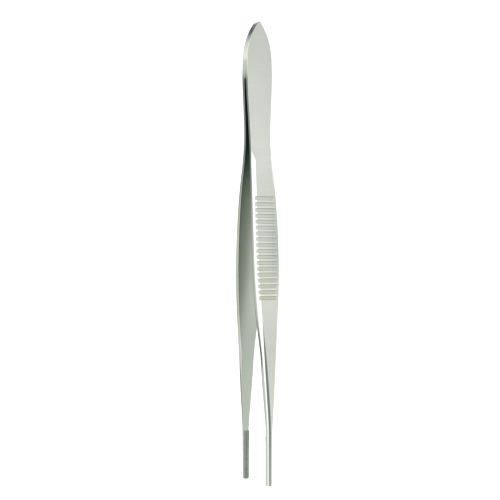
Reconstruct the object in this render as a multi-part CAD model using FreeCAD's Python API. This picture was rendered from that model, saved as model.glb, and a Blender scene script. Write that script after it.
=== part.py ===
import FreeCAD, Part

import math
import os

from FreeCAD import Vector

# Epilation forceps of stainless steel: two sprung arms, mirror images, welded flat to flat at the head.
# The forceps lie on their lower edges. X runs along them towards the head, Y is the way the arms open
# and Z the way they are wide. Sizes are in millimetres. A station is a distance from the head's point.

# Lengths of the zones, one after the other from the head's point to the tips
weld_length = 14.7
flex_length = 17.3
rise_length = 28.5
fall_length = 13.5
upper_taper_length = 13.0
lower_taper_length = 13.0
taper_end_length = 7.3
jaw_length = 12.7

# Places between the zones' ends
flex_middle_length = 8.8
ramp_offset = 1.0
ramp_length = 3.0
bend_length = 9.0

# Widths of an arm, seen square to its outer face. The head and the grip have its full width and carry it
# where it lies.
full_width = 7.38
neck_width = 5.9
bend_width = 6.6
taper_start_width = 6.35
taper_middle_width = 4.1
taper_end_width = 2.28
jaw_start_width = 1.6
tip_width = 1.48

# Head, in plan: a pointed arch with a small round nose, then a short parallel run
head_arch_radius = 17.2
nose_radius = 0.54
head_parallel_length = 2.4

# Half of the gap between the arms, and how fast it opens at the slot's end
slot_half_gap = 0.34
slot_slope = 0.05
flex_half_gap = 0.66
neck_half_gap = 0.95
bend_half_gap = 1.97
grip_half_gap = 3.47
taper_start_half_gap = 4.1
taper_middle_half_gap = 4.92
taper_end_half_gap = 5.43
jaw_start_half_gap = 5.8
tip_half_gap = 5.9

# Thickness of an arm, between its inner and outer faces. The head is flat near its point, swells towards
# the slot, and the arm steps up over a short ramp at the neck.
apex_thickness = 1.17
apex_length = 8.0
head_thickness = 1.48
flex_thickness = 0.93
ramp_end_thickness = 1.65
ramp_end_slope = 0.3
bend_thickness = 1.74
grip_thickness = 2.03
taper_start_thickness = 2.08
taper_middle_thickness = 1.8
taper_end_thickness = 1.6
jaw_start_thickness = 1.18
tip_thickness = 1.0

# Flat side of an arm, left between the inner face and the bevel along each outer edge
ramp_land = 0.95
ramp_end_land = 0.88
bend_land = 0.92
grip_land = 1.25
taper_start_land = 1.28
taper_middle_land = 1.2
taper_end_land = 1.05
jaw_start_land = 0.6
tip_land = 0.4

# Slant of the bevels, from the way the arms open
ramp_bevel_angle = 46.0
grip_bevel_angle = 51.5
taper_bevel_angle = 43.0
tip_bevel_angle = 35.0
bevel_spacing = 4.0

# Narrow facet that takes the corner off between a bevel and the outer face, from below the grip to the tip
facet_offset = 2.0
facet_run_in = 8.0
facet_width = 0.38
facet_angle = 21.0

# Finger grooves across the outer face
groove_count = 18
groove_pitch = 1.508
groove_width = 0.94
groove_depth = 0.37
groove_corner_radius = 0.26
groove_neck_offset = 14.15

# Raised jaw pad on the inner face, with fine grooves along it
pad_height = 0.3
serration_count = 2
serration_pitch = 0.6
serration_width = 0.4
serration_depth = 0.18
tip_corner_radius = 0.4

# How far a cutting tool stands clear of the steel
clearance = 1.0

# Stations that follow from the lengths
slot_start = weld_length + slot_half_gap
flex_middle = weld_length + flex_middle_length
neck_station = weld_length + flex_length
ramp_start = neck_station + ramp_offset
ramp_end = ramp_start + ramp_length
bend_station = neck_station + bend_length
grip_station = neck_station + rise_length
taper_start = grip_station + fall_length
taper_middle = taper_start + upper_taper_length
taper_end = taper_middle + lower_taper_length
jaw_start = taper_end + taper_end_length
total_length = jaw_start + jaw_length
facet_start = taper_start + facet_offset
facet_full = facet_start + facet_run_in
half_width = full_width / 2


def place(station, y, z):
    """Point of the left arm, from its station, its height off the weld plane and its offset in width."""
    return Vector(total_length / 2 - station, y, half_width + z)


def plan_point(station, z):
    return place(station, 0, z)


def side_point(station, y):
    return place(station, y, -half_width)


class Span:
    """A cubic stretch of a curve, from its ends' stations, heights and slopes."""

    def __init__(self, start, end, low, high, first_slope, last_slope):
        self.start = start
        self.end = end
        self.low = low
        self.high = high
        self.first_slope = first_slope
        self.last_slope = last_slope

    def at(self, station):
        run = self.end - self.start
        t = (station - self.start) / run
        eased = t * t * (3 - 2 * t)
        first = self.first_slope * run * t * (1 - t) ** 2
        last = self.last_slope * run * t * t * (1 - t)
        return self.low + (self.high - self.low) * eased + first - last

    def slope_at(self, station):
        run = self.end - self.start
        t = (station - self.start) / run
        rise = 6 * t * (1 - t) * (self.high - self.low) / run
        first = self.first_slope * (1 - t) * (1 - 3 * t)
        last = self.last_slope * t * (3 * t - 2)
        return rise + first + last

    def edge(self, point):
        third = (self.end - self.start) / 3
        curve = Part.BezierCurve()
        curve.setPoles([
            point(self.start, self.low),
            point(self.start + third, self.low + self.first_slope * third),
            point(self.end - third, self.high - self.last_slope * third),
            point(self.end, self.high),
        ])
        return curve.toShape()


class Curve:
    """A height that changes with the station, made of spans that follow each other."""

    def __init__(self, spans):
        self.spans = spans

    @classmethod
    def through(cls, stations, first_slope, last_slope):
        """The curve through the stations whose curvature doesn't jump."""
        count = len(stations)
        runs = [stations[i + 1][0] - stations[i][0] for i in range(count - 1)]
        rises = [stations[i + 1][1] - stations[i][1] for i in range(count - 1)]
        ratios = [0.0] * count
        slopes = [first_slope] * count
        for i in range(1, count - 1):
            target = 3 * (runs[i] * rises[i - 1] / runs[i - 1] + runs[i - 1] * rises[i] / runs[i])
            pivot = 2 * (runs[i - 1] + runs[i]) - runs[i] * ratios[i - 1]
            ratios[i] = runs[i - 1] / pivot
            slopes[i] = (target - runs[i] * slopes[i - 1]) / pivot
        slopes[-1] = last_slope
        for i in range(count - 2, 0, -1):
            slopes[i] -= ratios[i] * slopes[i + 1]
        spans = []
        for i in range(count - 1):
            start, low = stations[i]
            end, high = stations[i + 1]
            spans.append(Span(start, end, low, high, slopes[i], slopes[i + 1]))
        return cls(spans)

    def span_over(self, station):
        for span in self.spans[:-1]:
            if station < span.end:
                return span
        return self.spans[-1]

    def at(self, station):
        return self.span_over(station).at(station)

    def slope_at(self, station):
        return self.span_over(station).slope_at(station)

    def followed_by(self, other):
        return Curve(self.spans + other.spans)

    def plus(self, other):
        """The sum of two curves over the stretch that both cover."""
        spans = self.spans + other.spans
        ends = sorted({span.start for span in spans} | {span.end for span in spans})
        first = max(self.spans[0].start, other.spans[0].start)
        last = min(self.spans[-1].end, other.spans[-1].end)
        ends = [end for end in ends if first <= end <= last]
        total = []
        for start, end in zip(ends, ends[1:]):
            middle = (start + end) / 2
            pair = (self.span_over(middle), other.span_over(middle))
            total.append(Span(
                start,
                end,
                sum(span.at(start) for span in pair),
                sum(span.at(end) for span in pair),
                sum(span.slope_at(start) for span in pair),
                sum(span.slope_at(end) for span in pair),
            ))
        return Curve(total)

    def edges(self, point):
        """One edge for each span, with point(station, height) giving places in the model."""
        return [span.edge(point) for span in self.spans]


def line(a, b):
    return Part.LineSegment(a, b).toShape()


def arc(a, middle, b):
    return Part.Arc(a, middle, b).toShape()


def head_arch_end():
    """Station where the pointed arch meets the head's parallel run, so that the nose starts at zero."""
    reach = head_arch_radius - nose_radius
    offset = head_arch_radius - half_width
    return nose_radius + math.sqrt(reach ** 2 - offset ** 2)


def half_width_curve():
    """Half width of an arm from the end of the head's parallel run to the corner of the tip."""
    jaw_slope = (tip_width - jaw_start_width) / 2 / jaw_length
    upper = Curve.through(
        [(head_arch_end() + head_parallel_length, half_width), (neck_station, neck_width / 2)], 0, 0
    )
    middle = Curve.through(
        [(neck_station, neck_width / 2), (bend_station, bend_width / 2), (grip_station, half_width)],
        0,
        0,
    )
    lower = Curve.through(
        [
            (grip_station, half_width),
            (taper_start, taper_start_width / 2),
            (taper_middle, taper_middle_width / 2),
            (taper_end, taper_end_width / 2),
            (jaw_start, jaw_start_width / 2),
        ],
        0,
        jaw_slope,
    )
    jaw = Curve.through(
        [(jaw_start, jaw_start_width / 2), (total_length - tip_corner_radius, tip_width / 2)],
        jaw_slope,
        jaw_slope,
    )
    return upper.followed_by(middle).followed_by(lower).followed_by(jaw)


def inner_curve():
    """Inner face of the left arm, off the weld plane, from the end of the slot to the tip."""
    stations = [
        (slot_start, slot_half_gap),
        (flex_middle, flex_half_gap),
        (neck_station, neck_half_gap),
        (bend_station, bend_half_gap),
        (grip_station, grip_half_gap),
        (taper_start, taper_start_half_gap),
        (taper_middle, taper_middle_half_gap),
        (taper_end, taper_end_half_gap),
        (jaw_start, jaw_start_half_gap),
        (total_length, tip_half_gap),
    ]
    return Curve.through(stations, slot_slope, 0)


def thickness_curve():
    """Thickness of an arm below the slot. The ramp at the neck ends in a crease."""
    root_thickness = head_thickness - slot_half_gap
    root = Curve.through([(slot_start, root_thickness), (flex_middle, flex_thickness)], -slot_slope, 0)
    flat = Curve.through([(flex_middle, flex_thickness), (ramp_start, flex_thickness)], 0, 0)
    ramp = Curve.through([(ramp_start, flex_thickness), (ramp_end, ramp_end_thickness)], 0, ramp_end_slope)
    blade = Curve.through(
        [
            (ramp_end, ramp_end_thickness),
            (bend_station, bend_thickness),
            (grip_station, grip_thickness),
            (taper_start, taper_start_thickness),
            (taper_middle, taper_middle_thickness),
            (taper_end, taper_end_thickness),
            (jaw_start, jaw_start_thickness),
            (total_length, tip_thickness),
        ],
        (bend_thickness - ramp_end_thickness) / (bend_station - ramp_end),
        0,
    )
    return root.followed_by(flat).followed_by(ramp).followed_by(blade)


def land_curve():
    """Height of an arm's flat side above its inner face, from the ramp to the tip."""
    stations = [
        (ramp_start, ramp_land),
        (ramp_end, ramp_end_land),
        (bend_station, bend_land),
        (grip_station, grip_land),
        (taper_start, taper_start_land),
        (taper_middle, taper_middle_land),
        (taper_end, taper_end_land),
        (jaw_start, jaw_start_land),
        (total_length, tip_land),
    ]
    return Curve.through(stations, 0, 0)


def bevel_angle_curve():
    stations = [
        (ramp_start, ramp_bevel_angle),
        (grip_station, grip_bevel_angle),
        (taper_middle, taper_bevel_angle),
        (total_length, tip_bevel_angle),
    ]
    return Curve.through(stations, 0, 0)


def head_curve():
    """Outer face of the head's swell, off the weld plane."""
    return Curve.through([(apex_length, apex_thickness), (slot_start, head_thickness)], 0, 0)


def outer_curve():
    """Outer face of the left arm, off the weld plane."""
    return inner_curve().plus(thickness_curve())


def bevel_foot_curve():
    """Where the flat side ends and the bevel starts, off the weld plane."""
    return inner_curve().plus(land_curve())


def on_head_arch(angle, side):
    """Point of the arch, by the angle at its centre from the way across the head."""
    station = head_arch_end() - head_arch_radius * math.sin(angle)
    z = half_width - head_arch_radius + head_arch_radius * math.cos(angle)
    return plan_point(station, side * z)


def nose_angle():
    offset = head_arch_radius - half_width
    return math.acos(offset / (head_arch_radius - nose_radius))


def plan_half(side):
    """Edges of the outline on one side of the middle, from the nose to the round corner of the tip."""
    angle = nose_angle()
    arch_end = plan_point(head_arch_end(), side * half_width)
    run_end = plan_point(head_arch_end() + head_parallel_length, side * half_width)
    turn = tip_corner_radius * (1 - math.sqrt(0.5))
    corner_start = plan_point(total_length - tip_corner_radius, side * tip_width / 2)
    corner_middle = plan_point(total_length - turn, side * (tip_width / 2 - turn))
    corner_end = plan_point(total_length, side * (tip_width / 2 - tip_corner_radius))
    return [
        arc(on_head_arch(angle, side), on_head_arch(angle / 2, side), arch_end),
        line(arch_end, run_end),
        *half_width_curve().edges(lambda station, height: plan_point(station, side * height)),
        arc(corner_start, corner_middle, corner_end),
    ]


def closed_face(edges):
    return Part.Face(Part.Wire(Part.__sortEdges__(edges)))


def plan_prism():
    """Outline of an arm, as deep as the arm stands off the weld plane."""
    nose = arc(on_head_arch(nose_angle(), 1), plan_point(0, 0), on_head_arch(nose_angle(), -1))
    tip_half_flat = tip_width / 2 - tip_corner_radius
    tip = line(plan_point(total_length, tip_half_flat), plan_point(total_length, -tip_half_flat))
    depth = max(span.high for span in outer_curve().spans) + clearance
    return closed_face(plan_half(1) + plan_half(-1) + [nose, tip]).extrude(Vector(0, depth, 0))


def side_prism():
    """Side view of the left arm, with the flat weld face, the round slot end and the jaw pad."""
    outer = outer_curve()
    turn = slot_half_gap * math.sqrt(0.5)
    pad_start = side_point(jaw_start, jaw_start_half_gap - pad_height)
    pad_end = side_point(total_length, tip_half_gap - pad_height)
    slot_arc = arc(
        side_point(weld_length, 0),
        side_point(slot_start - turn, turn),
        side_point(slot_start, slot_half_gap),
    )
    edges = [
        line(side_point(-clearance, 0), side_point(weld_length, 0)),
        slot_arc,
        *inner_curve().edges(side_point)[:-1],
        line(side_point(jaw_start, jaw_start_half_gap), pad_start),
        line(pad_start, pad_end),
        line(pad_end, side_point(total_length, outer.at(total_length))),
        *outer.edges(side_point),
        *head_curve().edges(side_point),
        line(side_point(apex_length, apex_thickness), side_point(-clearance, apex_thickness)),
        line(side_point(-clearance, apex_thickness), side_point(-clearance, 0)),
    ]
    return closed_face(edges).extrude(Vector(0, 0, 2 * half_width))


def bevel_section(station, side):
    """Triangle that lies outside the bevel at a station."""
    foot = bevel_foot_curve().at(station)
    half = half_width_curve().at(station)
    rise = thickness_curve().at(station) - land_curve().at(station) + clearance
    lean = math.tan(math.radians(bevel_angle_curve().at(station)))
    low = place(station, foot - clearance / lean, side * (half + clearance))
    high = place(station, foot + rise, side * (half - rise * lean))
    outside = place(station, foot + rise, side * (half + clearance))
    return Part.makePolygon([low, high, outside, low])


def bevel_cutter(side):
    """Tool that takes one outer edge off, from the ramp at the neck to just past the tip."""
    end = total_length + clearance
    count = math.ceil((end - ramp_start) / bevel_spacing)
    step = (end - ramp_start) / count
    return Part.makeLoft([bevel_section(ramp_start + i * step, side) for i in range(count + 1)], True, False)


def facet_curve():
    """Width of the facet, from its soft start to the tip."""
    run_in = Curve.through([(facet_start, 0), (facet_full, facet_width)], 0, 0)
    return run_in.followed_by(Curve.through([(facet_full, facet_width), (total_length, facet_width)], 0, 0))


def facet_section(station, side):
    """Triangle that lies outside the facet at a station."""
    outer = outer_curve().at(station)
    lean = math.tan(math.radians(bevel_angle_curve().at(station)))
    turn = math.radians(facet_angle)
    width = facet_curve().at(station)
    drop = width * math.sin(turn)
    shoulder = half_width_curve().at(station) - (outer - bevel_foot_curve().at(station)) * lean
    edge = shoulder + drop * lean - width * math.cos(turn)
    rise = clearance * math.tan(turn)
    low = place(station, outer - 2 * rise, side * (edge + 2 * clearance))
    high = place(station, outer + rise, side * (edge - clearance))
    outside = place(station, outer + rise, side * (edge + 2 * clearance))
    return Part.makePolygon([low, high, outside, low])


def facet_cutter(side):
    """Tool that takes one of the facets off, to just past the tip."""
    end = total_length + clearance
    count = math.ceil((end - facet_start) / bevel_spacing)
    step = (end - facet_start) / count
    sections = [facet_section(facet_start + i * step, side) for i in range(count + 1)]
    return Part.makeLoft(sections, True, False)


def groove_cutter(station):
    """Bar across the outer face, with a flat floor and round corners, sunk square to the face."""
    outer = outer_curve()
    slope = outer.slope_at(station)
    length = math.hypot(1, slope)

    def square(along, rise):
        y = outer.at(station) + (along * slope + rise) / length
        return place(station + (along - rise * slope) / length, y, -half_width - clearance)

    wall = groove_width / 2
    flat = wall - groove_corner_radius
    turn = groove_corner_radius * (1 - math.sqrt(0.5))
    low = groove_corner_radius - groove_depth
    edges = [
        line(square(-wall, clearance), square(-wall, low)),
        arc(square(-wall, low), square(turn - wall, turn - groove_depth), square(-flat, -groove_depth)),
        line(square(-flat, -groove_depth), square(flat, -groove_depth)),
        arc(square(flat, -groove_depth), square(wall - turn, turn - groove_depth), square(wall, low)),
        line(square(wall, low), square(wall, clearance)),
        line(square(wall, clearance), square(-wall, clearance)),
    ]
    return closed_face(edges).extrude(Vector(0, 0, 2 * (half_width + clearance)))


def groove_cutters():
    first = neck_station + groove_neck_offset
    return [groove_cutter(first + i * groove_pitch) for i in range(groove_count)]


def serration_cutter(z):
    """V bar along the jaw pad."""
    slope = serration_depth / (serration_width / 2)
    start = jaw_start - clearance
    face = jaw_start_half_gap - pad_height
    mouth = serration_width / 2 + clearance / slope
    corners = [
        place(start, face - clearance, z - mouth),
        place(start, face + serration_depth, z),
        place(start, face - clearance, z + mouth),
    ]
    end = place(total_length + clearance, tip_half_gap - jaw_start_half_gap, 0)
    return Part.Face(Part.makePolygon(corners + corners[:1])).extrude(end - place(start, 0, 0))


def serration_cutters():
    middle = (serration_count - 1) / 2
    return [serration_cutter((i - middle) * serration_pitch) for i in range(serration_count)]


def left_arm():
    """One arm, with its weld face on the middle plane."""
    blank = plan_prism().common(side_prism())
    bevels = [bevel_cutter(1), bevel_cutter(-1), facet_cutter(1), facet_cutter(-1)]
    return blank.cut(bevels + groove_cutters() + serration_cutters()).removeSplitter()


def right_arm():
    """The other arm, a mirror image across the weld plane."""
    return left_arm().mirror(Vector(0, 0, 0), Vector(0, 1, 0))


PARTS = {"left_arm": left_arm, "right_arm": right_arm}

os.makedirs("parts", exist_ok=True)
for name, make in PARTS.items():
    arm = make()
    arm.Solids[0].exportStep(os.path.join("parts", name + ".step"))
    print(name, "solids", len(arm.Solids), "valid", arm.isValid(), "volume", round(arm.Volume, 2))
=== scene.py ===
import logging
import math
from dataclasses import dataclass
from enum import Enum, IntEnum

import bmesh
import bpy
import numpy as np
from mathutils import Matrix, Vector


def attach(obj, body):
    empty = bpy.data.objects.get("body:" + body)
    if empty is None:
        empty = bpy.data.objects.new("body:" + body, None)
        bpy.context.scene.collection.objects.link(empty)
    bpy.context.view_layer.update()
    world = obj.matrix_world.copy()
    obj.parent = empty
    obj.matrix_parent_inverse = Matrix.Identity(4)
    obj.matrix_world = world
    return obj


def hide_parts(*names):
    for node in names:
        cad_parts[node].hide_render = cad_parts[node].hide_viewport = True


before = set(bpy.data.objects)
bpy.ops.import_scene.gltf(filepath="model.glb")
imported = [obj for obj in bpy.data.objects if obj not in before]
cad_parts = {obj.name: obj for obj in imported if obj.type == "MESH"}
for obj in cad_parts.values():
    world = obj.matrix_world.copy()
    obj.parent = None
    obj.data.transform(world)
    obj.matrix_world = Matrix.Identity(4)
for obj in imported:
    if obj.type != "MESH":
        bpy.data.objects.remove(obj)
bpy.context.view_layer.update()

MM = 0.001
LEAST_LENGTH = 1e-9
log = logging.getLogger("forceps")

Point = tuple[float, float]
Span = tuple[float, float]
Run = tuple[float, float, float, float]
Colour = tuple[float, float, float]
Stops = tuple[tuple[float, Colour], ...]
Socket = bpy.types.NodeSocket
Value = Socket | float | Colour


class Side(Enum):
    """The two arms, with the way that each one's outer face points along Y."""

    LEFT = 1
    RIGHT = -1


class Mark(Enum):
    """Values that a point of an arm's mesh carries for the cuts, the finish and the painted shade."""

    STATION = "station"
    FACE = "face"
    INNER = "inner"
    POLISH = "polish"
    CUT = "cut"
    LAND = "land"
    SHADE = "shade"
    PAD = "pad"


class Strip(IntEnum):
    """The strips of a half section, from the inner face round to the outer one."""

    INNER = 0
    FLAT = 1
    BEVEL = 2
    FACET = 3
    OUTER = 4


@dataclass(frozen=True)
class Stations:
    """Places along the forceps, as distances in millimetres from the head's point."""

    weld_end: float = 14.7
    slot_start: float = 15.04
    flex_middle: float = 23.5
    neck: float = 32.0
    ramp_start: float = 33.0
    ramp_end: float = 36.0
    bend: float = 41.0
    grip: float = 60.5
    taper_start: float = 74.0
    taper_middle: float = 87.0
    taper_end: float = 100.0
    jaw_start: float = 107.3
    tip: float = 120.0


class Curve:
    """A size that changes along the forceps, with no jump in curvature between its stations."""

    def __init__(self, points: list[Point], first: float = 0.0, last: float = 0.0) -> None:
        """Works out the slopes at the stations.

        Args:
            points: Stations with the size at each.
            first: Slope at the first station.
            last: Slope at the last station.
        """
        self.x = np.array([p[0] for p in points])
        self.y = np.array([p[1] for p in points])
        count = len(points)
        run = np.diff(self.x)
        rise = np.diff(self.y)
        system = np.eye(count)
        target = np.zeros(count)
        target[0], target[-1] = first, last
        for i in range(1, count - 1):
            system[i, i - 1:i + 2] = run[i], 2 * (run[i - 1] + run[i]), run[i - 1]
            target[i] = 3 * (run[i] * rise[i - 1] / run[i - 1] + run[i - 1] * rise[i] / run[i])
        self.slope = np.linalg.solve(system, target)

    def at(self, station: np.ndarray) -> np.ndarray:
        """Looks the size up. Before the first station and past the last, the end's own size holds.

        Args:
            station: Where it is asked for.

        Returns:
            The size at each station.
        """
        s = np.clip(station, self.x[0], self.x[-1])
        i = np.clip(np.searchsorted(self.x, s, side="right") - 1, 0, len(self.x) - 2)
        run = self.x[i + 1] - self.x[i]
        t = (s - self.x[i]) / run
        eased = t * t * (3 - 2 * t)
        first = self.slope[i] * run * t * (1 - t) ** 2
        last = self.slope[i + 1] * run * t * t * (1 - t)
        return self.y[i] + (self.y[i + 1] - self.y[i]) * eased + first - last


@dataclass(frozen=True)
class Widths:
    """Widths of an arm, seen square to its outer face, in millimetres."""

    full: float = 7.38
    neck: float = 5.9
    bend: float = 6.6
    taper_start: float = 6.35
    taper_middle: float = 4.1
    taper_end: float = 2.28
    jaw_start: float = 1.6
    tip: float = 1.48
    arch_radius: float = 17.2
    nose_radius: float = 0.54
    parallel: float = 2.4
    tip_radius: float = 0.4

    def arch_end(self) -> float:
        """Station where the head's pointed arch ends."""
        reach, offset = self.arch_radius - self.nose_radius, self.arch_radius - self.full / 2
        return self.nose_radius + math.sqrt(reach ** 2 - offset ** 2)

    def half(self, station: np.ndarray, at: Stations) -> np.ndarray:
        """Half width of an arm.

        Args:
            station: Where it is asked for.
            at: The forceps' stations.

        Returns:
            The half width at each station.
        """
        start = self.arch_end() + self.parallel
        last = at.tip - self.tip_radius
        jaw = (self.tip - self.jaw_start) / 2 / (at.tip - at.jaw_start)
        upper = Curve([(start, self.full / 2), (at.neck, self.neck / 2)])
        middle = Curve([(at.neck, self.neck / 2), (at.bend, self.bend / 2), (at.grip, self.full / 2)])
        lower = Curve([
            (at.grip, self.full / 2),
            (at.taper_start, self.taper_start / 2),
            (at.taper_middle, self.taper_middle / 2),
            (at.taper_end, self.taper_end / 2),
            (at.jaw_start, self.jaw_start / 2),
        ], 0.0, jaw)
        jaws = Curve([(at.jaw_start, self.jaw_start / 2), (last, self.tip / 2)], jaw, jaw)
        below_arch = np.clip(self.arch_end() - station, 0, self.arch_radius)
        arch = self.full / 2 - self.arch_radius + np.sqrt(self.arch_radius ** 2 - below_arch ** 2)
        below_nose = np.clip(self.nose_radius - station, 0, self.nose_radius)
        nose = np.sqrt(self.nose_radius ** 2 - below_nose ** 2)
        turn = np.clip(station - last, 0, self.tip_radius)
        corner = self.tip_radius - np.sqrt(self.tip_radius ** 2 - turn ** 2)
        half = np.select(
            [station < start, station < at.neck, station < at.grip, station < at.jaw_start],
            [arch, upper.at(station), middle.at(station), lower.at(station)],
            jaws.at(station),
        )
        on_nose = station < self.nose_end()
        return np.where(on_nose, nose, half) - corner

    def nose_end(self) -> float:
        """Station where the round nose meets the arch."""
        reach = self.arch_radius - self.nose_radius
        return self.nose_radius * (1 - math.sqrt(1 - ((self.arch_radius - self.full / 2) / reach) ** 2))


@dataclass(frozen=True)
class Section:
    """Heights, lands and edge rounds of an arm's section, in millimetres."""

    slot_gap: float = 0.34
    slot_slope: float = 0.05
    flex_gap: float = 0.66
    neck_gap: float = 0.95
    bend_gap: float = 1.97
    grip_gap: float = 3.47
    taper_start_gap: float = 4.1
    taper_middle_gap: float = 4.92
    taper_end_gap: float = 5.43
    jaw_start_gap: float = 5.8
    tip_gap: float = 5.9
    pad_height: float = 0.3
    apex_thickness: float = 1.17
    apex_length: float = 8.0
    head_thickness: float = 1.48
    flex_thickness: float = 0.93
    ramp_end_thickness: float = 1.65
    ramp_end_slope: float = 0.3
    bend_thickness: float = 1.74
    grip_thickness: float = 2.03
    taper_start_thickness: float = 2.08
    taper_middle_thickness: float = 1.8
    taper_end_thickness: float = 1.6
    jaw_start_thickness: float = 1.18
    tip_thickness: float = 1.0
    ramp_land: float = 0.95
    ramp_end_land: float = 0.88
    bend_land: float = 0.92
    grip_land: float = 1.25
    taper_start_land: float = 1.28
    taper_middle_land: float = 1.2
    taper_end_land: float = 1.05
    jaw_start_land: float = 0.6
    tip_land: float = 0.4
    ramp_bevel_angle: float = 46.0
    grip_bevel_angle: float = 51.5
    taper_bevel_angle: float = 43.0
    tip_bevel_angle: float = 35.0
    least_bevel: float = 0.06
    least_facet: float = 0.03
    facet_width: float = 0.38
    facet_angle: float = 21.0
    facet_start: float = 76.0
    facet_full: float = 84.0
    # Painted shade along the forceps: its share at each station, full in the slot and the flex zone
    shade: tuple[Point, ...] = (
        (13.0, 0.0), (15.5, 1.0), (34.0, 1.0), (38.0, 0.65), (42.0, 0.32), (50.0, 0.05), (58.0, 0.0),
    )
    lean: tuple[Point, ...] = (
        (32.0, 0.0), (70.0, 0.0), (77.0, 0.5), (82.0, 5.0), (87.5, 5.5), (91.5, -1.0), (94.0, -2.0),
        (107.3, -2.0),
    )
    weld_edge: float = 0.01
    slot_edge: float = 0.015
    inner_edge: float = 0.07
    neck_foot_edge: float = 0.05
    foot_edge: float = 0.12
    shoulder_edge: float = 0.1
    tip_round: float = 0.14

    def inner(self, station: np.ndarray, at: Stations) -> np.ndarray:
        """Height of the inner face off the weld plane, with the slot's round end and the jaw pad.

        Args:
            station: Where it is asked for.
            at: The forceps' stations.

        Returns:
            The height at each station.
        """
        curve = Curve([
            (at.slot_start, self.slot_gap),
            (at.flex_middle, self.flex_gap),
            (at.neck, self.neck_gap),
            (at.bend, self.bend_gap),
            (at.grip, self.grip_gap),
            (at.taper_start, self.taper_start_gap),
            (at.taper_middle, self.taper_middle_gap),
            (at.taper_end, self.taper_end_gap),
            (at.jaw_start, self.jaw_start_gap),
            (at.tip, self.tip_gap),
        ], self.slot_slope)
        back = np.clip(at.slot_start - station, 0, self.slot_gap)
        end = np.sqrt(self.slot_gap ** 2 - back ** 2)
        pad = np.where(station > at.jaw_start, self.pad_height, 0.0)
        height = np.where(station < at.slot_start, end, curve.at(station))
        return height - pad

    def thickness(self, station: np.ndarray, at: Stations) -> np.ndarray:
        """Thickness of the arm below the head, without the jaw pad.

        Args:
            station: Where it is asked for.
            at: The forceps' stations.

        Returns:
            The thickness at each station.
        """
        root = Curve(
            [(at.slot_start, self.head_thickness - self.slot_gap), (at.flex_middle, self.flex_thickness)],
            -self.slot_slope,
        )
        ramp = Curve(
            [(at.ramp_start, self.flex_thickness), (at.ramp_end, self.ramp_end_thickness)],
            0.0,
            self.ramp_end_slope,
        )
        blade = Curve([
            (at.ramp_end, self.ramp_end_thickness),
            (at.bend, self.bend_thickness),
            (at.grip, self.grip_thickness),
            (at.taper_start, self.taper_start_thickness),
            (at.taper_middle, self.taper_middle_thickness),
            (at.taper_end, self.taper_end_thickness),
            (at.jaw_start, self.jaw_start_thickness),
            (at.tip, self.tip_thickness),
        ], (self.bend_thickness - self.ramp_end_thickness) / (at.bend - at.ramp_end))
        return np.select(
            [station < at.flex_middle, station < at.ramp_start, station < at.ramp_end],
            [root.at(station), np.full_like(station, self.flex_thickness), ramp.at(station)],
            blade.at(station),
        )

    def outer(self, station: np.ndarray, at: Stations) -> np.ndarray:
        """Height of the outer face off the weld plane.

        Args:
            station: Where it is asked for.
            at: The forceps' stations.

        Returns:
            The height at each station.
        """
        base = self.inner(np.minimum(station, at.jaw_start), at)
        past = np.maximum(station, at.jaw_start)
        base = np.where(station > at.jaw_start, self.inner(past, at) + self.pad_height, base)
        head = Curve([(self.apex_length, self.apex_thickness), (at.slot_start, self.head_thickness)])
        return np.where(station < at.slot_start, head.at(station), base + self.thickness(station, at))

    def bevel(self, station: np.ndarray, at: Stations) -> tuple[np.ndarray, np.ndarray]:
        """Bevel along an outer edge, never less than the broken edge of the head.

        Args:
            station: Where it is asked for.
            at: The forceps' stations.

        Returns:
            Its depth and its width.
        """
        land = Curve([
            (at.ramp_start, self.ramp_land),
            (at.ramp_end, self.ramp_end_land),
            (at.bend, self.bend_land),
            (at.grip, self.grip_land),
            (at.taper_start, self.taper_start_land),
            (at.taper_middle, self.taper_middle_land),
            (at.taper_end, self.taper_end_land),
            (at.jaw_start, self.jaw_start_land),
            (at.tip, self.tip_land),
        ])
        angle = Curve([
            (at.ramp_start, self.ramp_bevel_angle),
            (at.grip, self.grip_bevel_angle),
            (at.taper_middle, self.taper_bevel_angle),
            (at.tip, self.tip_bevel_angle),
        ])
        depth = np.where(station < at.ramp_start, 0.0, self.thickness(station, at) - land.at(station))
        depth = np.maximum(depth, self.least_bevel)
        return depth, depth * np.tan(np.radians(angle.at(station)))

    def rounds(self, station: np.ndarray, at: Stations) -> tuple[np.ndarray, ...]:
        """Radii of the rounds between the strips of a section.

        Args:
            station: Where it is asked for.
            at: The forceps' stations.

        Returns:
            The radii of the inner edge, of the bevel's foot and of the facet's two edges.
        """
        slot = self.slot_edge
        inner = Curve([(at.slot_start, slot), (at.neck, slot), (at.bend, self.inner_edge)])
        foot = Curve([(at.bend, self.neck_foot_edge), (at.grip, self.foot_edge)])
        edge = np.where(station < at.slot_start, self.weld_edge, inner.at(station))
        shoulder = np.full_like(station, self.shoulder_edge)
        return edge, foot.at(station), shoulder, shoulder

    def facet(self, station: np.ndarray, at: Stations) -> np.ndarray:
        """Width of the narrow facet between bevel and face, which starts softly below the grip."""
        least, full = self.least_facet, self.facet_width
        return Curve([(self.facet_start, least), (self.facet_full, full), (at.tip, full)]).at(station)

    def lean_at(self, station: np.ndarray) -> np.ndarray:
        """How far the flat side leans towards the other arm, as a slope."""
        return np.tan(np.radians(Curve(list(self.lean)).at(station)))


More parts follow.
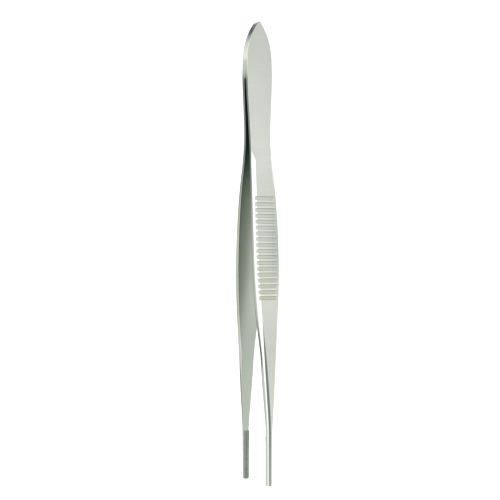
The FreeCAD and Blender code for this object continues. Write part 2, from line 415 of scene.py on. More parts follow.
class Nodes:
    """Adds nodes to a tree. A value is another node's output, a number or a colour."""

    def __init__(self, tree: bpy.types.NodeTree) -> None:
        """Keeps the tree."""
        self.tree = tree

    def add(self, kind: str, **settings: object) -> bpy.types.Node:
        """Adds a node.

        Args:
            kind: The node's type.
            settings: Properties of the node, with their values.

        Returns:
            The new node.
        """
        node = self.tree.nodes.new(kind)
        for name, value in settings.items():
            setattr(node, name, value)
        return node

    def link(self, value: Value, socket: Socket) -> None:
        """Gives a value to a node's input.

        Args:
            value: What goes in.
            socket: The input.
        """
        if isinstance(value, Socket):
            self.tree.links.new(value, socket)
        else:
            socket.default_value = (*value, 1.0) if isinstance(value, tuple) else value

    def math(self, operation: str, *values: Value) -> Socket:
        """Adds a Math node.

        Args:
            operation: What it does.
            values: What it does it with.

        Returns:
            The result.
        """
        node = self.add("ShaderNodeMath", operation=operation)
        for value, socket in zip(values, node.inputs):
            self.link(value, socket)
        return node.outputs[0]

    def axes(self, vector: Socket) -> tuple[Socket, ...]:
        """Splits a vector.

        Args:
            vector: The vector's socket.

        Returns:
            Its X, Y and Z.
        """
        split = self.add("ShaderNodeSeparateXYZ")
        self.link(vector, split.inputs[0])
        return tuple(split.outputs)


class Shader(Nodes):
    """The nodes of a material or of the sky."""

    def space(self, name: str) -> Socket:
        """One of the texture spaces."""
        return self.add("ShaderNodeTexCoord").outputs[name]

    def mark(self, mark: Mark) -> Socket:
        """A value that the mesh's points carry."""
        return self.add("ShaderNodeAttribute", attribute_name=mark.value).outputs["Fac"]

    def span(
        self, value: Value, start: float = 0.0, end: float = 1.0, low: float = 0.0, high: float = 1.0
    ) -> Socket:
        """Moves a value from one span to another, and holds it at the ends.

        Args:
            value: The value.
            start: Where the first span starts.
            end: Where the first span ends.
            low: Where the second span starts.
            high: Where the second span ends.

        Returns:
            The moved value.
        """
        node = self.add("ShaderNodeMapRange")
        ends = {"From Min": start, "From Max": end, "To Min": low, "To Max": high, "Value": value}
        for name, size in ends.items():
            self.link(size, node.inputs[name])
        return node.outputs[0]

    def over(self, value: Value, run: Run) -> Socket:
        """Shows where a value lies in a run.

        Args:
            value: The value, in metres.
            run: Where the run starts, is full, is full for the last time, and ends, in millimetres.

        Returns:
            A share from 0 outside the run to 1 where it is full.
        """
        start, full, last, end = (place * MM for place in run)
        return self.math("MULTIPLY", self.span(value, start, full), self.span(value, end, last))

    def noise(self, place: Value, scale: Colour, detail: float) -> Socket:
        """Adds a noise texture.

        Args:
            place: The space that it is in.
            scale: Its waves for each metre, along each axis.
            detail: Its number of finer layers.

        Returns:
            The noise, from 0 to 1.
        """
        mapping = self.add("ShaderNodeMapping")
        mapping.inputs["Scale"].default_value = scale
        self.link(place, mapping.inputs["Vector"])
        node = self.add("ShaderNodeTexNoise")
        for name, value in {"Scale": 1.0, "Detail": detail, "Vector": mapping.outputs[0]}.items():
            self.link(value, node.inputs[name])
        return node.outputs["Fac"]

    def mix(self, factor: Value, a: Value, b: Value, kind: str = "MIX") -> Socket:
        """Mixes two colours.

        Args:
            factor: Share of the second colour, or of its effect.
            a: The first colour.
            b: The second colour.
            kind: How the second colour acts on the first.

        Returns:
            The mixed colour.
        """
        node = self.add("ShaderNodeMix", data_type="RGBA", blend_type=kind)
        for name, value in {"Factor": factor, "A": a, "B": b}.items():
            self.link(value, node.inputs[name])
        return node.outputs["Result"]

    def ramp(self, value: Value, start: float, end: float, stops: Stops) -> Socket:
        """Turns a value into a colour.

        Args:
            value: The value that is looked up.
            start: Value at the ramp's start.
            end: Value at the ramp's end.
            stops: Places along the ramp from 0 to 1, with the colour at each.

        Returns:
            The colour.
        """
        node = self.add("ShaderNodeValToRGB")
        self.link(self.span(value, start, end), node.inputs["Fac"])
        elements = node.color_ramp.elements
        for _ in stops[2:]:
            elements.new(0.5)
        for element, (place, colour) in zip(elements, stops):
            element.position = place
            element.color = (*colour, 1.0)
        return node.outputs["Color"]


class Tree(Nodes):
    """A Geometry Nodes tree that moves the points of a mesh, with named inputs for its sizes."""

    def __init__(self, name: str, sizes: dict[str, float]) -> None:
        """Makes the tree and its inputs.

        Args:
            name: Name of the tree.
            sizes: Inputs with the value that each one gets.
        """
        super().__init__(bpy.data.node_groups.new(name, "GeometryNodeTree"))
        self.sizes = sizes
        face = self.tree.interface
        face.new_socket("Mesh", in_out="INPUT", socket_type="NodeSocketGeometry")
        for key in sizes:
            face.new_socket(key, in_out="INPUT", socket_type="NodeSocketFloat")
        face.new_socket("Finish", in_out="INPUT", socket_type="NodeSocketMaterial")
        face.new_socket("Mesh", in_out="OUTPUT", socket_type="NodeSocketGeometry")
        self.source = self.add("NodeGroupInput")
        self.mesh = self.source.outputs["Mesh"]

    def given(self, name: str) -> Socket:
        """One of the tree's inputs."""
        return self.source.outputs[name]

    def square(self, value: Socket) -> Socket:
        """A value times itself."""
        return self.math("MULTIPLY", value, value)

    def nearest(self, steps: Socket) -> Socket:
        """Number of the groove that is nearest, from 0 to the input Last."""
        number = self.math("MAXIMUM", self.math("ROUND", steps), 0.0)
        return self.math("MINIMUM", number, self.given("Last"))

    def mark(self, mark: Mark) -> Socket:
        """Reads a value that the points carry.

        Args:
            mark: Which value.

        Returns:
            The value.
        """
        node = self.add("GeometryNodeInputNamedAttribute", data_type="FLOAT")
        node.inputs["Name"].default_value = mark.value
        return node.outputs["Attribute"]

    def position(self, axis: int) -> Socket:
        """One coordinate of the points, in millimetres."""
        return self.math("DIVIDE", self.axes(self.add("GeometryNodeInputPosition").outputs[0])[axis], MM)

    def store(self, mark: Mark, value: Socket) -> None:
        """Keeps a value on the points.

        Args:
            mark: Its name.
            value: The value.
        """
        node = self.add("GeometryNodeStoreNamedAttribute", data_type="FLOAT", domain="POINT")
        node.inputs["Name"].default_value = mark.value
        self.link(self.mesh, node.inputs["Geometry"])
        self.link(value, node.inputs["Value"])
        self.mesh = node.outputs["Geometry"]

    def move(self, along_y: Socket) -> None:
        """Moves the points.

        Args:
            along_y: How far they go along Y, in metres.
        """
        offset = self.add("ShaderNodeCombineXYZ")
        node = self.add("GeometryNodeSetPosition")
        self.link(along_y, offset.inputs["Y"])
        self.link(self.mesh, node.inputs["Geometry"])
        self.link(offset.outputs[0], node.inputs["Offset"])
        self.mesh = node.outputs["Geometry"]

    def apply(self, piece: bpy.types.Object, material: bpy.types.Material) -> bpy.types.Object:
        """Ends the tree, runs it on an object and turns the result into a plain mesh.

        Args:
            piece: The object whose mesh goes in.
            material: Finish of the result.

        Returns:
            The object, with the new mesh and no modifier.
        """
        real = self.add("GeometryNodeRealizeInstances")
        dress = self.add("GeometryNodeSetMaterial")
        result = self.add("NodeGroupOutput")
        self.link(self.mesh, real.inputs["Geometry"])
        self.link(real.outputs["Geometry"], dress.inputs["Geometry"])
        self.link(self.given("Finish"), dress.inputs["Material"])
        self.link(dress.outputs["Geometry"], result.inputs["Mesh"])
        modifier = piece.modifiers.new(self.tree.name, "NODES")
        modifier.node_group = self.tree
        values = {**self.sizes, "Finish": material}
        for socket in self.tree.interface.items_tree:
            if socket.in_out == "INPUT" and socket.name in values:
                modifier[socket.identifier] = values[socket.name]
        bpy.context.view_layer.update()
        shown = piece.evaluated_get(bpy.context.evaluated_depsgraph_get())
        baked = bpy.data.meshes.new_from_object(shown)
        piece.modifiers.remove(modifier)
        raw = piece.data
        piece.data = baked
        baked.name = piece.name
        bpy.data.meshes.remove(raw)
        return piece


@dataclass(frozen=True)
class FingerGrooves:
    """Grooves with round corners across the outer face, in millimetres."""

    count: int = 18
    pitch: float = 1.508
    first: float = 46.15
    width: float = 0.94
    depth: float = 0.37
    corner: float = 0.26
    steepness: float = 10.0
    lip: float = 0.03
    corner_rows: int = 8
    lip_rows: tuple[float, ...] = (-0.25, 0.0, 0.5, 1.5)

    def rows(self) -> np.ndarray:
        """Places the rows of the mesh along the grooves.

        Returns:
            Stations that follow each groove's floor and corners and the lips beside it.
        """
        wall = self.width / 2
        top = wall + (self.depth - self.corner) / self.steepness
        corner = wall - self.corner + self.corner * np.sin(np.linspace(0, math.pi / 2, self.corner_rows))
        lips = top + self.lip * np.array(self.lip_rows)
        side = np.concatenate([corner, lips])
        one = np.concatenate([-side, [0.0], side, [-self.pitch / 2]])
        return np.concatenate([one + self.first + i * self.pitch for i in range(self.count)])

    def cut(self, piece: bpy.types.Object, side: Side, material: bpy.types.Material) -> bpy.types.Object:
        """Sinks the grooves into an arm.

        Args:
            piece: The arm, with the values of Mark on its points.
            side: Which arm it is.
            material: Finish of the result.

        Returns:
            The same object with a plain mesh.
        """
        tree = Tree("finger_grooves", {
            "First": self.first, "Pitch": self.pitch, "Last": float(self.count - 1),
            "Flat": self.width / 2 - self.corner, "Corner": self.corner, "Steepness": self.steepness,
            "Depth": self.depth, "Lip": self.lip, "Side": float(side.value),
        })
        station = tree.mark(Mark.STATION)
        face = tree.mark(Mark.FACE)
        height = tree.math("ABSOLUTE", tree.position(1))
        steps = tree.math("DIVIDE", tree.math("SUBTRACT", station, tree.given("First")), tree.given("Pitch"))
        along = tree.math("MULTIPLY", tree.nearest(steps), tree.given("Pitch"))
        centre = tree.math("ADD", along, tree.given("First"))
        off = tree.math("ABSOLUTE", tree.math("SUBTRACT", station, centre))
        past = tree.math("MAXIMUM", tree.math("SUBTRACT", off, tree.given("Flat")), 0.0)
        square = tree.math("SUBTRACT", tree.square(tree.given("Corner")), tree.square(past))
        chord = tree.math("SQRT", tree.math("MAXIMUM", square, 0.0))
        beyond = tree.math("MAXIMUM", tree.math("SUBTRACT", past, tree.given("Corner")), 0.0)
        wall = tree.math("MULTIPLY", beyond, tree.given("Steepness"))
        rise = tree.math("ADD", tree.math("SUBTRACT", tree.given("Corner"), chord), wall)
        floor = tree.math("ADD", tree.math("SUBTRACT", face, tree.given("Depth")), rise)
        cut = tree.math("SMOOTH_MIN", height, floor, tree.given("Lip"))
        sunk = tree.math("SUBTRACT", height, cut)
        tree.store(Mark.CUT, tree.math("DIVIDE", sunk, tree.given("Depth")))
        tree.move(tree.math("MULTIPLY", sunk, tree.math("MULTIPLY", tree.given("Side"), -MM)))
        return tree.apply(piece, material)


@dataclass(frozen=True)
class Serrations:
    """Fine V grooves along the jaw pad, in millimetres."""

    count: int = 2
    pitch: float = 0.6
    width: float = 0.4
    depth: float = 0.18

    def cut(
        self, piece: bpy.types.Object, side: Side, middle: float, start: float, material: bpy.types.Material
    ) -> bpy.types.Object:
        """Sinks the serrations into an arm's jaw pad.

        Args:
            piece: The arm, with the values of Mark on its points.
            side: Which arm it is.
            middle: Height of the arm's middle above the floor.
            start: Station where the pad starts.
            material: Finish of the result.

        Returns:
            The same object with a plain mesh.
        """
        tree = Tree("serrations", {
            "Start": start, "Middle": middle, "Pitch": self.pitch, "Last": float(self.count - 1),
            "Width": self.width, "Depth": self.depth, "Side": float(side.value),
        })
        across = tree.math("SUBTRACT", tree.position(2), tree.given("Middle"))
        half_row = tree.math("MULTIPLY", tree.given("Last"), 0.5)
        steps = tree.math("ADD", tree.math("DIVIDE", across, tree.given("Pitch")), half_row)
        from_middle = tree.math("SUBTRACT", tree.nearest(steps), half_row)
        centre = tree.math("MULTIPLY", from_middle, tree.given("Pitch"))
        off = tree.math("ABSOLUTE", tree.math("SUBTRACT", across, centre))
        share = tree.math("DIVIDE", tree.math("MULTIPLY", off, 2.0), tree.given("Width"))
        wedge = tree.math("MAXIMUM", tree.math("SUBTRACT", 1.0, share), 0.0)
        on_pad = tree.math("GREATER_THAN", tree.mark(Mark.STATION), tree.given("Start"))
        sunk = tree.math("MULTIPLY", tree.math("MULTIPLY", wedge, on_pad), tree.mark(Mark.INNER))
        depth = tree.math("MULTIPLY", sunk, tree.given("Depth"))
        tree.move(tree.math("MULTIPLY", depth, tree.math("MULTIPLY", tree.given("Side"), MM)))
        return tree.apply(piece, material)


@dataclass(frozen=True)
class SatinSteel:
    """Stainless steel, satin and brushed across on its faces, polished on its narrow edges, with painted
    shade, painted light on its groove walls and a painted reflection at the head's point.

    Lengths and places, along the forceps or up from the floor, are in millimetres. A share multiplies the
    colour.
    """

    name: str = "satin_steel"
    colour: Colour = (0.485, 0.503, 0.458)
    land_colour: Colour = (0.54, 0.56, 0.52)
    painted_shade_groove_colours: tuple[Colour, Colour] = ((0.436, 0.45, 0.397), (0.4, 0.4, 0.32))
    painted_shade_groove_ends: Span = (2.0, -12.0)
    painted_cool_shade_share: Colour = (0.78, 0.8, 0.83)
    painted_cool_shade_run: Run = (-10.0, -1.0, 5.0, 16.0)
    painted_cool_shade_rise: Span = (4.6, 0.4)
    painted_shade_low_bevel_share: Colour = (0.76, 0.75, 0.74)
    painted_shade_low_bevel_run: Run = (-15.5, -13.5, 15.5, 18.0)
    painted_shade_low_bevel_lean: Span = (-0.25, -0.6)
    painted_reflection_point_colour: Colour = (0.52, 0.59, 0.55)
    painted_reflection_point_run: Run = (54.5, 56.0, 59.0, 62.0)
    painted_reflection_point_lean: Span = (0.3, 0.38)
    shade_share: Colour = (0.54, 0.61, 0.62)
    painted_shade_inner_share: Colour = (0.765, 0.805, 0.765)
    painted_shade_pad_colour: Colour = (0.195, 0.218, 0.19)
    painted_light_groove_wall_shares: Span = (0.98, 1.5)
    face_roughness: float = 0.3
    edge_roughness: float = 0.14
    line_spacing: float = 0.22
    line_length: float = 9.0
    line_depth: float = 0.0006
    line_strength: float = 0.06
    cloud_size: float = 14.0
    cloud_strength: float = 0.05
    noise_detail: float = 2.0

    def tone(self, shader: Shader, place: Socket, facing: Socket, sunk: Socket) -> Socket:
        """Colours the faces, lands, grooves, bevels and pads, with painted shade and a painted reflection at
        the head's point.

        Args:
            shader: Where the nodes go.
            place: Places on the object.
            facing: The way that the surface faces.
            sunk: How far the surface lies down in a finger groove, as a share of the groove's depth.

        Returns:
            The steel's colour, without its lines and clouds.
        """
        x, _, z = shader.axes(place)
        facing_x, _, facing_z = shader.axes(facing)
        face = shader.mix(shader.mark(Mark.LAND), self.colour, self.land_colour)
        # Painted shade: the finger grooves are darker and yellower the deeper they go, more so towards the
        # tip
        down = shader.span(x, *(end * MM for end in self.painted_shade_groove_ends))
        steel = shader.mix(sunk, face, shader.mix(down, *self.painted_shade_groove_colours))
        # Painted shade: one half of the upper grooves is cooler and darker, on the outer side alone
        outer = shader.span(shader.mark(Mark.INNER), 1.0, 0.0)
        low = shader.math("MULTIPLY", outer, shader.span(z, *(end * MM for end in self.painted_cool_shade_rise)))
        painted_cool_shade = shader.math("MULTIPLY", shader.over(x, self.painted_cool_shade_run), low)
        steel = shader.mix(painted_cool_shade, steel, self.painted_cool_shade_share, "MULTIPLY")
        # Painted shade: surfaces that face down towards the floor, the lower bevel among them, are darker
        # along the grip
        leans = shader.span(facing_z, *self.painted_shade_low_bevel_lean)
        painted_low_bevel_shade = shader.math("MULTIPLY", shader.over(x, self.painted_shade_low_bevel_run), leans)
        steel = shader.mix(painted_low_bevel_shade, steel, self.painted_shade_low_bevel_share, "MULTIPLY")
        # Painted reflection: at the head's point, surfaces that face past the point take a teal-grey
        leans = shader.span(facing_x, *self.painted_reflection_point_lean)
        painted_point_reflection = shader.math("MULTIPLY", shader.over(x, self.painted_reflection_point_run), leans)
        steel = shader.mix(painted_point_reflection, steel, self.painted_reflection_point_colour)
        # Painted shade: darker, bluer steel on the inner faces and flats in the slot and the flex zone
        steel = shader.mix(shader.mark(Mark.SHADE), steel, self.shade_share, "MULTIPLY")
        # Painted shade: the inner faces, between the arms, are darker all along
        steel = shader.mix(shader.mark(Mark.INNER), steel, self.painted_shade_inner_share, "MULTIPLY")
        # Painted shade: the jaw pads, between the two jaws, are much darker
        return shader.mix(shader.mark(Mark.PAD), steel, self.painted_shade_pad_colour)

    def material(self) -> bpy.types.Material:
        """Builds the finish.

        Returns:
            The material.
        """
        made = bpy.data.materials.new(self.name)
        made.use_nodes = True
        shader = Shader(made.node_tree)
        place, facing = shader.space("Object"), shader.space("Normal")
        along, across = 1 / (self.line_spacing * MM), 1 / (self.line_length * MM)
        lines = shader.noise(place, (along, across, across), self.noise_detail)
        clouds = shader.noise(place, (1 / (self.cloud_size * MM),) * 3, self.noise_detail)
        bump = shader.add("ShaderNodeBump")
        bump.inputs["Distance"].default_value = self.line_depth * MM
        shader.link(lines, bump.inputs["Height"])

        sunk = shader.mark(Mark.CUT)
        # Painted light: the groove walls that face the head are lighter, up to half as bright again
        toward_head = shader.math("MULTIPLY", shader.axes(facing)[0], sunk)
        strength = shader.span(toward_head, 0.0, 1.0, *self.painted_light_groove_wall_shares)
        for value, depth in ((clouds, self.cloud_strength), (lines, self.line_strength)):
            strength = shader.math("MULTIPLY", strength, shader.span(value, 0.0, 1.0, 1 - depth, 1 + depth))
        colour = shader.add("ShaderNodeVectorMath", operation="SCALE")
        shader.link(self.tone(shader, place, facing, sunk), colour.inputs[0])
        shader.link(strength, colour.inputs["Scale"])
        polish = shader.mark(Mark.POLISH)
        finish = {
            "Metallic": 1.0,
            "Base Color": colour.outputs[0],
            "Normal": bump.outputs[0],
            "Roughness": shader.span(polish, 0.0, 1.0, self.face_roughness, self.edge_roughness),
        }
        surface = made.node_tree.nodes["Principled BSDF"]
        for name, value in finish.items():
            shader.link(value, surface.inputs[name])
        return made


@dataclass(frozen=True)
class Arm:
    """One sprung arm, from the head's point to the tip of its jaw, in millimetres.

    Polish and columns are for the strips of a section, from the inner face to the outer one.
    """

    side: Side
    at: Stations = Stations()
    widths: Widths = Widths()
    section: Section = Section()
    grooves: FingerGrooves = FingerGrooves()
    serrations: Serrations = Serrations()
    polish: tuple[float, ...] = (0.0, 1.0, 1.0, 0.6, 0.0)
    shade_fade: float = 1.5
    widest_bevel: float = 0.7
    facet_rise: float = 0.98
    columns: tuple[int, ...] = (14, 4, 8, 3, 12)
    round_columns: int = 5
    longest_round: float = 0.46
    groove_end: float = 0.012
    groove_end_steps: tuple[int, ...] = (-3, -1, 1, 3)
    groove_end_range: Span = (0.2, 0.8)
    quarter_rows: int = 9
    quarter_start: float = 0.02
    head_rows: int = 30
    flex_rows: int = 30
    ramp_rows: int = 24
    neck_rows: int = 24
    taper_rows: int = 64
    jaw_rows: int = 24
    pad_step: float = 0.01
    pad_clearance: float = 0.06
    jaw_clearance: float = 0.24
    sharp_angle: float = 38.0

    def node(self) -> str:
        """Name of the CAD node that this arm stands for."""
        return f"{self.side.name.lower()}_arm"

    def rows(self) -> np.ndarray:
        """Places the mesh's sections, closest where the arm changes fast.

        Returns:
            Their stations.
        """
        at, grooves, clear, step = self.at, self.grooves, self.pad_clearance, self.pad_step
        nose, tip, slot = self.widths.nose_end(), at.tip - self.widths.tip_radius, self.section.slot_gap
        quarter = np.linspace(self.quarter_start, 1, self.quarter_rows)
        grooves_end = grooves.first + grooves.count * grooves.pitch
        stretches = [
            nose * quarter ** 2,
            np.linspace(nose, at.weld_end, self.head_rows),
            at.slot_start - slot * np.cos(quarter * math.pi / 2),
            np.linspace(at.slot_start, at.ramp_start, self.flex_rows),
            np.linspace(at.ramp_start, at.ramp_end, self.ramp_rows),
            np.linspace(at.ramp_end, grooves.first - grooves.pitch / 2, self.neck_rows),
            grooves.rows(),
            np.linspace(grooves_end, at.jaw_start - clear, self.taper_rows),
            at.jaw_start + np.array([-step, 0.0, step, clear]),
            np.linspace(at.jaw_start + self.jaw_clearance, tip, self.jaw_rows),
            tip + self.widths.tip_radius * np.sin(quarter * math.pi / 2),
        ]
        return np.unique(np.round(np.concatenate(stretches), 5))

    def half_ring(self, rows: np.ndarray) -> tuple[np.ndarray, np.ndarray]:
        """Upper half of every section, from the middle of the inner face to the middle of the outer face.

        Args:
            rows: Stations of the sections.

        Returns:
            Offsets in width and heights off the weld plane as (row, column, 2), and the strip that each
            column is on, with parts of a whole on the rounds between two strips.
        """
        half = self.widths.half(rows, self.at)
        inner = self.section.inner(rows, self.at)
        outer = self.section.outer(rows, self.at)
        depth, across = self.section.bevel(rows, self.at)
        past = np.clip(rows - self.at.tip + self.section.tip_round, 0, self.section.tip_round)
        give = self.section.tip_round - np.sqrt(self.section.tip_round ** 2 - past ** 2)
        inner, outer = inner + give, outer - give
        across = np.minimum(across, half * self.widest_bevel)
        facet = self.section.facet(rows, self.at)
        turn = math.radians(self.section.facet_angle)
        # The facet cuts the corner between the bevel and the face, half its width to each side of it
        up = facet * math.sin(turn) * self.facet_rise
        rise = up / (depth / across)
        wide = facet * math.cos(turn) - rise
        lowered = half - self.section.lean_at(rows) * (outer - depth - inner)
        corners = np.stack([
            np.stack([np.zeros_like(half), inner], 1),
            np.stack([lowered, inner], 1),
            np.stack([half, outer - depth], 1),
            np.stack([half - across + rise, outer - up], 1),
            np.stack([half - across - wide, outer], 1),
            np.stack([np.zeros_like(half), outer], 1),
        ], 1)
        return self.rounded(corners, self.section.rounds(rows, self.at), outer - self.grooves.depth)

    def rounded(
        self, corners: np.ndarray, radii: tuple[np.ndarray, ...], groove_floor: np.ndarray
    ) -> tuple[np.ndarray, np.ndarray]:
        """Rounds the corners of the sections and spreads the points along them.

        Args:
            corners: The sections' corners as (row, corner, 2).
            radii: Radius of the round between two strips.
            groove_floor: Height of the grooves' floors. The bevel has its columns closest there.

        Returns:
            The points as (row, column, 2) and the strip that each column is on.
        """
        sides = np.diff(corners, axis=1)
        lengths = np.linalg.norm(sides, axis=2)
        ways = sides / np.maximum(lengths, LEAST_LENGTH)[:, :, None]
        trims = []
        for i, radius in enumerate(radii):
            turn = np.arccos(np.clip(np.sum(ways[:, i] * ways[:, i + 1], 1), -1, 1))
            room = self.longest_round * np.minimum(lengths[:, i], lengths[:, i + 1])
            trims.append(np.minimum(radius * np.tan(turn / 2), room))
        none = np.zeros(len(corners))
        starts = [none] + trims
        ends = trims + [none]
        columns, strips = [], []
        for i, count in enumerate(self.columns):
            a = corners[:, i] + ways[:, i] * starts[i][:, None]
            b = corners[:, i + 1] - ways[:, i] * ends[i][:, None]
            spots = np.tile(np.linspace(0, 1, count)[:, None, None], (1, len(a), 1))
            if i == Strip.BEVEL:
                meet = (groove_floor - a[:, 1]) / (b[:, 1] - a[:, 1])
                meet = np.clip(meet, *self.groove_end_range)[:, None]
                near = [meet + step for step in self.groove_end * np.array(self.groove_end_steps)]
                spots = np.stack([0 * meet, meet / 2, *near, (1 + meet) / 2, 1 + 0 * meet])
            for t in spots:
                columns.append(a + (b - a) * t)
                strips.append(i)
            if i < len(radii):
                c = corners[:, i + 1] + ways[:, i + 1] * ends[i][:, None]
                for t in np.linspace(0, 1, self.round_columns)[1:-1]:
                    k = corners[:, i + 1]
                    columns.append(b * (1 - t) ** 2 + k * 2 * t * (1 - t) + c * t ** 2)
                    strips.append(i + t)
        return np.stack(columns, 1), np.array(strips)

    def faces(self, rows: int, columns: int) -> list[tuple[int, ...]]:
        """Joins the sections with faces and closes both ends.

        Args:
            rows: Number of sections.
            columns: Points of each section.

        Returns:
            The points of each face.
        """
        faces = []
        for here in range(0, (rows - 1) * columns, columns):
            there = here + columns
            for j in range(columns):
                k = (j + 1) % columns
                faces.append((here + j, here + k, there + k, there + j))
        faces.append(tuple(range(columns)))
        faces.append(tuple(range((rows - 1) * columns, rows * columns)))
        return faces

    def marks(self, rows: np.ndarray, strips: np.ndarray) -> dict[Mark, np.ndarray]:
        """Works out what the points carry.

        Args:
            rows: Stations of the sections.
            strips: The strip that each column is on.

        Returns:
            Each mark's value at every point.
        """
        first, last = self.grooves.first, self.grooves.first + self.grooves.pitch * (self.grooves.count - 1)
        gripped = (rows > first) & (rows < last)
        shade = Curve(list(self.section.shade)).at(rows)
        height = self.section.outer(rows, self.at)
        everywhere, whole = np.ones(len(strips)), np.ones(len(rows))
        polish = np.interp(strips, np.arange(len(self.polish)), self.polish)
        in_gap = np.clip(1 + self.shade_fade * (Strip.FLAT - strips), 0, 1)
        shares = {
            Mark.STATION: (rows, everywhere),
            Mark.FACE: (height, everywhere),
            Mark.INNER: (whole, strips == Strip.INNER),
            Mark.POLISH: (whole, polish),
            Mark.SHADE: (shade, in_gap),
            Mark.PAD: (rows > self.at.jaw_start, strips == Strip.INNER),
            Mark.LAND: (gripped, strips == Strip.OUTER),
        }
        return {mark: np.outer(along, across).ravel() for mark, (along, across) in shares.items()}

    def mesh(self) -> bpy.types.Object:
        """Builds the arm without its grooves and serrations.

        Returns:
            The arm.
        """
        rows = self.rows()
        upper, strips = self.half_ring(rows)
        lower = upper[:, -2:0:-1] * np.array([-1.0, 1.0])
        ring = np.concatenate([upper, lower], 1)
        strips = np.concatenate([strips, strips[-2:0:-1]])
        x = np.repeat((self.at.tip / 2 - rows)[:, None], len(strips), 1)
        y, z = ring[:, :, 1] * self.side.value, ring[:, :, 0] + self.widths.full / 2
        data = bpy.data.meshes.new(self.node() + "_steel")
        points = np.stack([x, y, z], 2).reshape(-1, 3) * MM
        data.from_pydata(points.tolist(), [], self.faces(len(rows), len(strips)))
        for mark, value in self.marks(rows, strips).items():
            layer = data.attributes.new(mark.value, "FLOAT", "POINT")
            layer.data.foreach_set("value", value.astype(np.float32))
        work = bmesh.new()
        work.from_mesh(data)
        bmesh.ops.recalc_face_normals(work, faces=work.faces)
        work.to_mesh(data)
        work.free()
        piece = bpy.data.objects.new(self.node() + "_steel", data)
        bpy.context.scene.collection.objects.link(piece)
        return piece

    def build(self, material: bpy.types.Material) -> bpy.types.Object:
        """Makes the arm, cuts its grooves and serrations, and sets it in its CAD node's place.

        Args:
            material: The arm's finish.

        Returns:
            The finished arm.
        """
        piece = self.mesh()
        self.grooves.cut(piece, self.side, material)
        self.serrations.cut(piece, self.side, self.widths.full / 2, self.at.jaw_start, material)
        piece.data.shade_smooth()
        piece.data.set_sharp_from_angle(angle=math.radians(self.sharp_angle))
        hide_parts(self.node())
        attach(piece, "root")
        log.info("%s: %d faces", piece.name, len(piece.data.polygons))
        return piece


def grey(*levels: tuple[float, float]) -> Stops:
    """Stops of a ramp that has no hue."""
    return tuple((place, (level,) * 3) for place, level in levels)


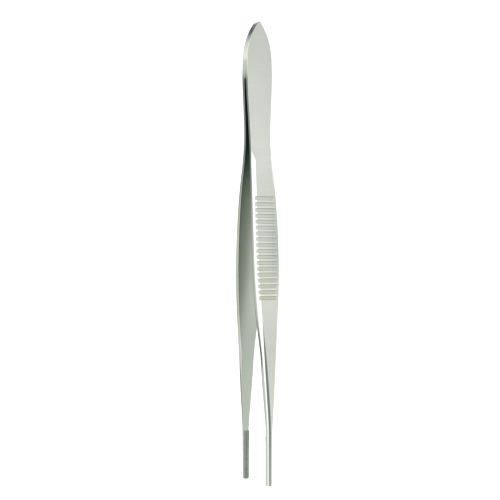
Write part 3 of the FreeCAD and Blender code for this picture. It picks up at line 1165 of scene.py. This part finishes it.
@dataclass(frozen=True)
class Studio:
    """Floor, light and camera. The sky's colours are for heights or ways across it, from 0 to 1."""

    floor_size: float = 4.0
    floor_colour: float = 0.15
    floor_ends: Span = (-0.06, 0.06)
    floor_glow: Stops = grey(
        (0.0, 1.1), (0.17, 1.16), (0.25, 1.08), (0.32, 1.1), (0.39, 1.26),
        (0.5, 1.2), (0.67, 1.14), (0.73, 1.25), (0.84, 1.14), (1.0, 0.99),
    )
    light: float = 2.4
    front: Stops = (
        (0.0, (0.11, 0.125, 0.128)),
        (0.25, (0.15, 0.167, 0.172)),
        (0.5, (0.19, 0.2, 0.208)),
        (0.62, (0.5, 0.5, 0.5)),
        (0.7, (1.0, 1.0, 1.0)),
        (0.93, (1.0, 1.0, 1.0)),
        (1.0, (0.42, 0.44, 0.43)),
    )
    back: Stops = (
        (0.0, (0.05, 0.056, 0.053)),
        (0.25, (0.08, 0.09, 0.085)),
        (0.38, (0.2, 0.212, 0.2)),
        (0.5, (0.43, 0.45, 0.42)),
        (0.7, (0.48, 0.49, 0.465)),
        (0.8, (0.9, 0.9, 0.9)),
        (0.93, (0.7, 0.72, 0.7)),
        (1.0, (0.42, 0.44, 0.43)),
    )
    behind_span: Span = (-0.3, 0.2)
    dip: Stops = (
        *grey((0.0, 1.0), (0.3, 1.0), (0.34, 0.9), (0.37, 0.7)),
        (0.4, (0.45, 0.49, 0.49)),
        (0.43, (0.5, 0.54, 0.54)),
        *grey((0.47, 0.85), (1.0, 1.0)),
    )
    dip_span: Span = (-0.3, 0.7)
    dip_end: Span = (0.58, 0.8)
    panel: Stops = (
        (0.0, (0.0, 0.0, 0.0)),
        (0.15, (0.36, 0.36, 0.345)),
        (0.5, (0.38, 0.38, 0.355)),
        (0.68, (0.0, 0.0, 0.0)),
    )
    panel_span: Span = (0.1, 0.7)
    panel_height: Stops = grey((0.0, 0.0), (0.12, 1.0), (0.7, 1.0), (1.0, 0.0))
    panel_height_span: Span = (0.15, 0.75)
    camera_tilt: float = 30.0
    camera_distance: float = 0.326
    camera_target: tuple[float, float, float] = (0.00056, 0.00094, 0.00532)
    lens: float = 90.0
    sensor: float = 36.0
    near_clip: float = 0.01

    def floor(self) -> None:
        """A plain white surface under the forceps, brightest under their middle."""
        half = self.floor_size / 2
        data = bpy.data.meshes.new("floor")
        corners = [(-half, -half, 0), (half, -half, 0), (half, half, 0), (-half, half, 0)]
        data.from_pydata(corners, [], [tuple(range(len(corners)))])
        made = bpy.data.materials.new("floor")
        made.use_nodes = True
        shader = Shader(made.node_tree)
        along = shader.axes(shader.space("Object"))[0]
        finish = {
            "Base Color": (self.floor_colour,) * 3,
            "Roughness": 1.0,
            "Specular IOR Level": 0.0,
            "Emission Color": (1.0, 1.0, 1.0),
            "Emission Strength": shader.ramp(along, *self.floor_ends, self.floor_glow),
        }
        surface = made.node_tree.nodes["Principled BSDF"]
        for name, value in finish.items():
            shader.link(value, surface.inputs[name])
        data.materials.append(made)
        piece = bpy.data.objects.new("floor", data)
        bpy.context.scene.collection.objects.link(piece)

    def sky(self) -> None:
        """A tent of light overhead, a dark room behind the camera and a graded wall beyond the forceps."""
        world = bpy.data.worlds.new("tent")
        world.use_nodes = True
        shader = Shader(world.node_tree)
        x, y, z = shader.axes(shader.space("Generated"))
        # The wall darkens over a narrow stretch, up to the light overhead, and has a pale panel on it
        dip = shader.ramp(x, *self.dip_span, self.dip)
        dip = shader.mix(shader.span(z, *self.dip_end), dip, (1.0, 1.0, 1.0))
        wall = shader.mix(1.0, shader.ramp(z, 0.0, 1.0, self.back), dip, "MULTIPLY")
        across = shader.ramp(x, *self.panel_span, self.panel)
        up = shader.ramp(z, *self.panel_height_span, self.panel_height)
        wall = shader.mix(1.0, wall, shader.mix(1.0, across, up, "MULTIPLY"), "ADD")
        front = shader.ramp(z, 0.0, 1.0, self.front)
        background = world.node_tree.nodes["Background"]
        background.inputs["Strength"].default_value = self.light
        shader.link(shader.mix(shader.span(y, *self.behind_span), front, wall), background.inputs["Color"])
        bpy.context.scene.world = world

    def camera(self) -> None:
        """The camera, square to the forceps' length and looking down on them."""
        tilt = math.radians(self.camera_tilt)
        back = Vector((0.0, -math.cos(tilt), math.sin(tilt)))
        up = Vector((1.0, 0.0, 0.0))
        right = up.cross(back)
        data = bpy.data.cameras.new("camera")
        data.lens = self.lens
        data.sensor_width = self.sensor
        data.clip_start = self.near_clip
        turn = Matrix((right, up, back)).transposed().to_4x4()
        camera = bpy.data.objects.new("camera", data)
        place = Vector(self.camera_target) + back * self.camera_distance
        camera.matrix_world = Matrix.Translation(place) @ turn
        bpy.context.scene.collection.objects.link(camera)
        bpy.context.scene.camera = camera

    def build(self) -> None:
        """Sets up the studio."""
        bpy.context.scene.view_settings.view_transform = "Standard"
        self.floor()
        self.sky()
        self.camera()


def main() -> None:
    """Builds the studio and both arms."""
    Studio().build()
    steel = SatinSteel().material()
    for side in Side:
        Arm(side).build(steel)


if __name__ == "__main__":
    logging.basicConfig(level=logging.INFO)
    main()
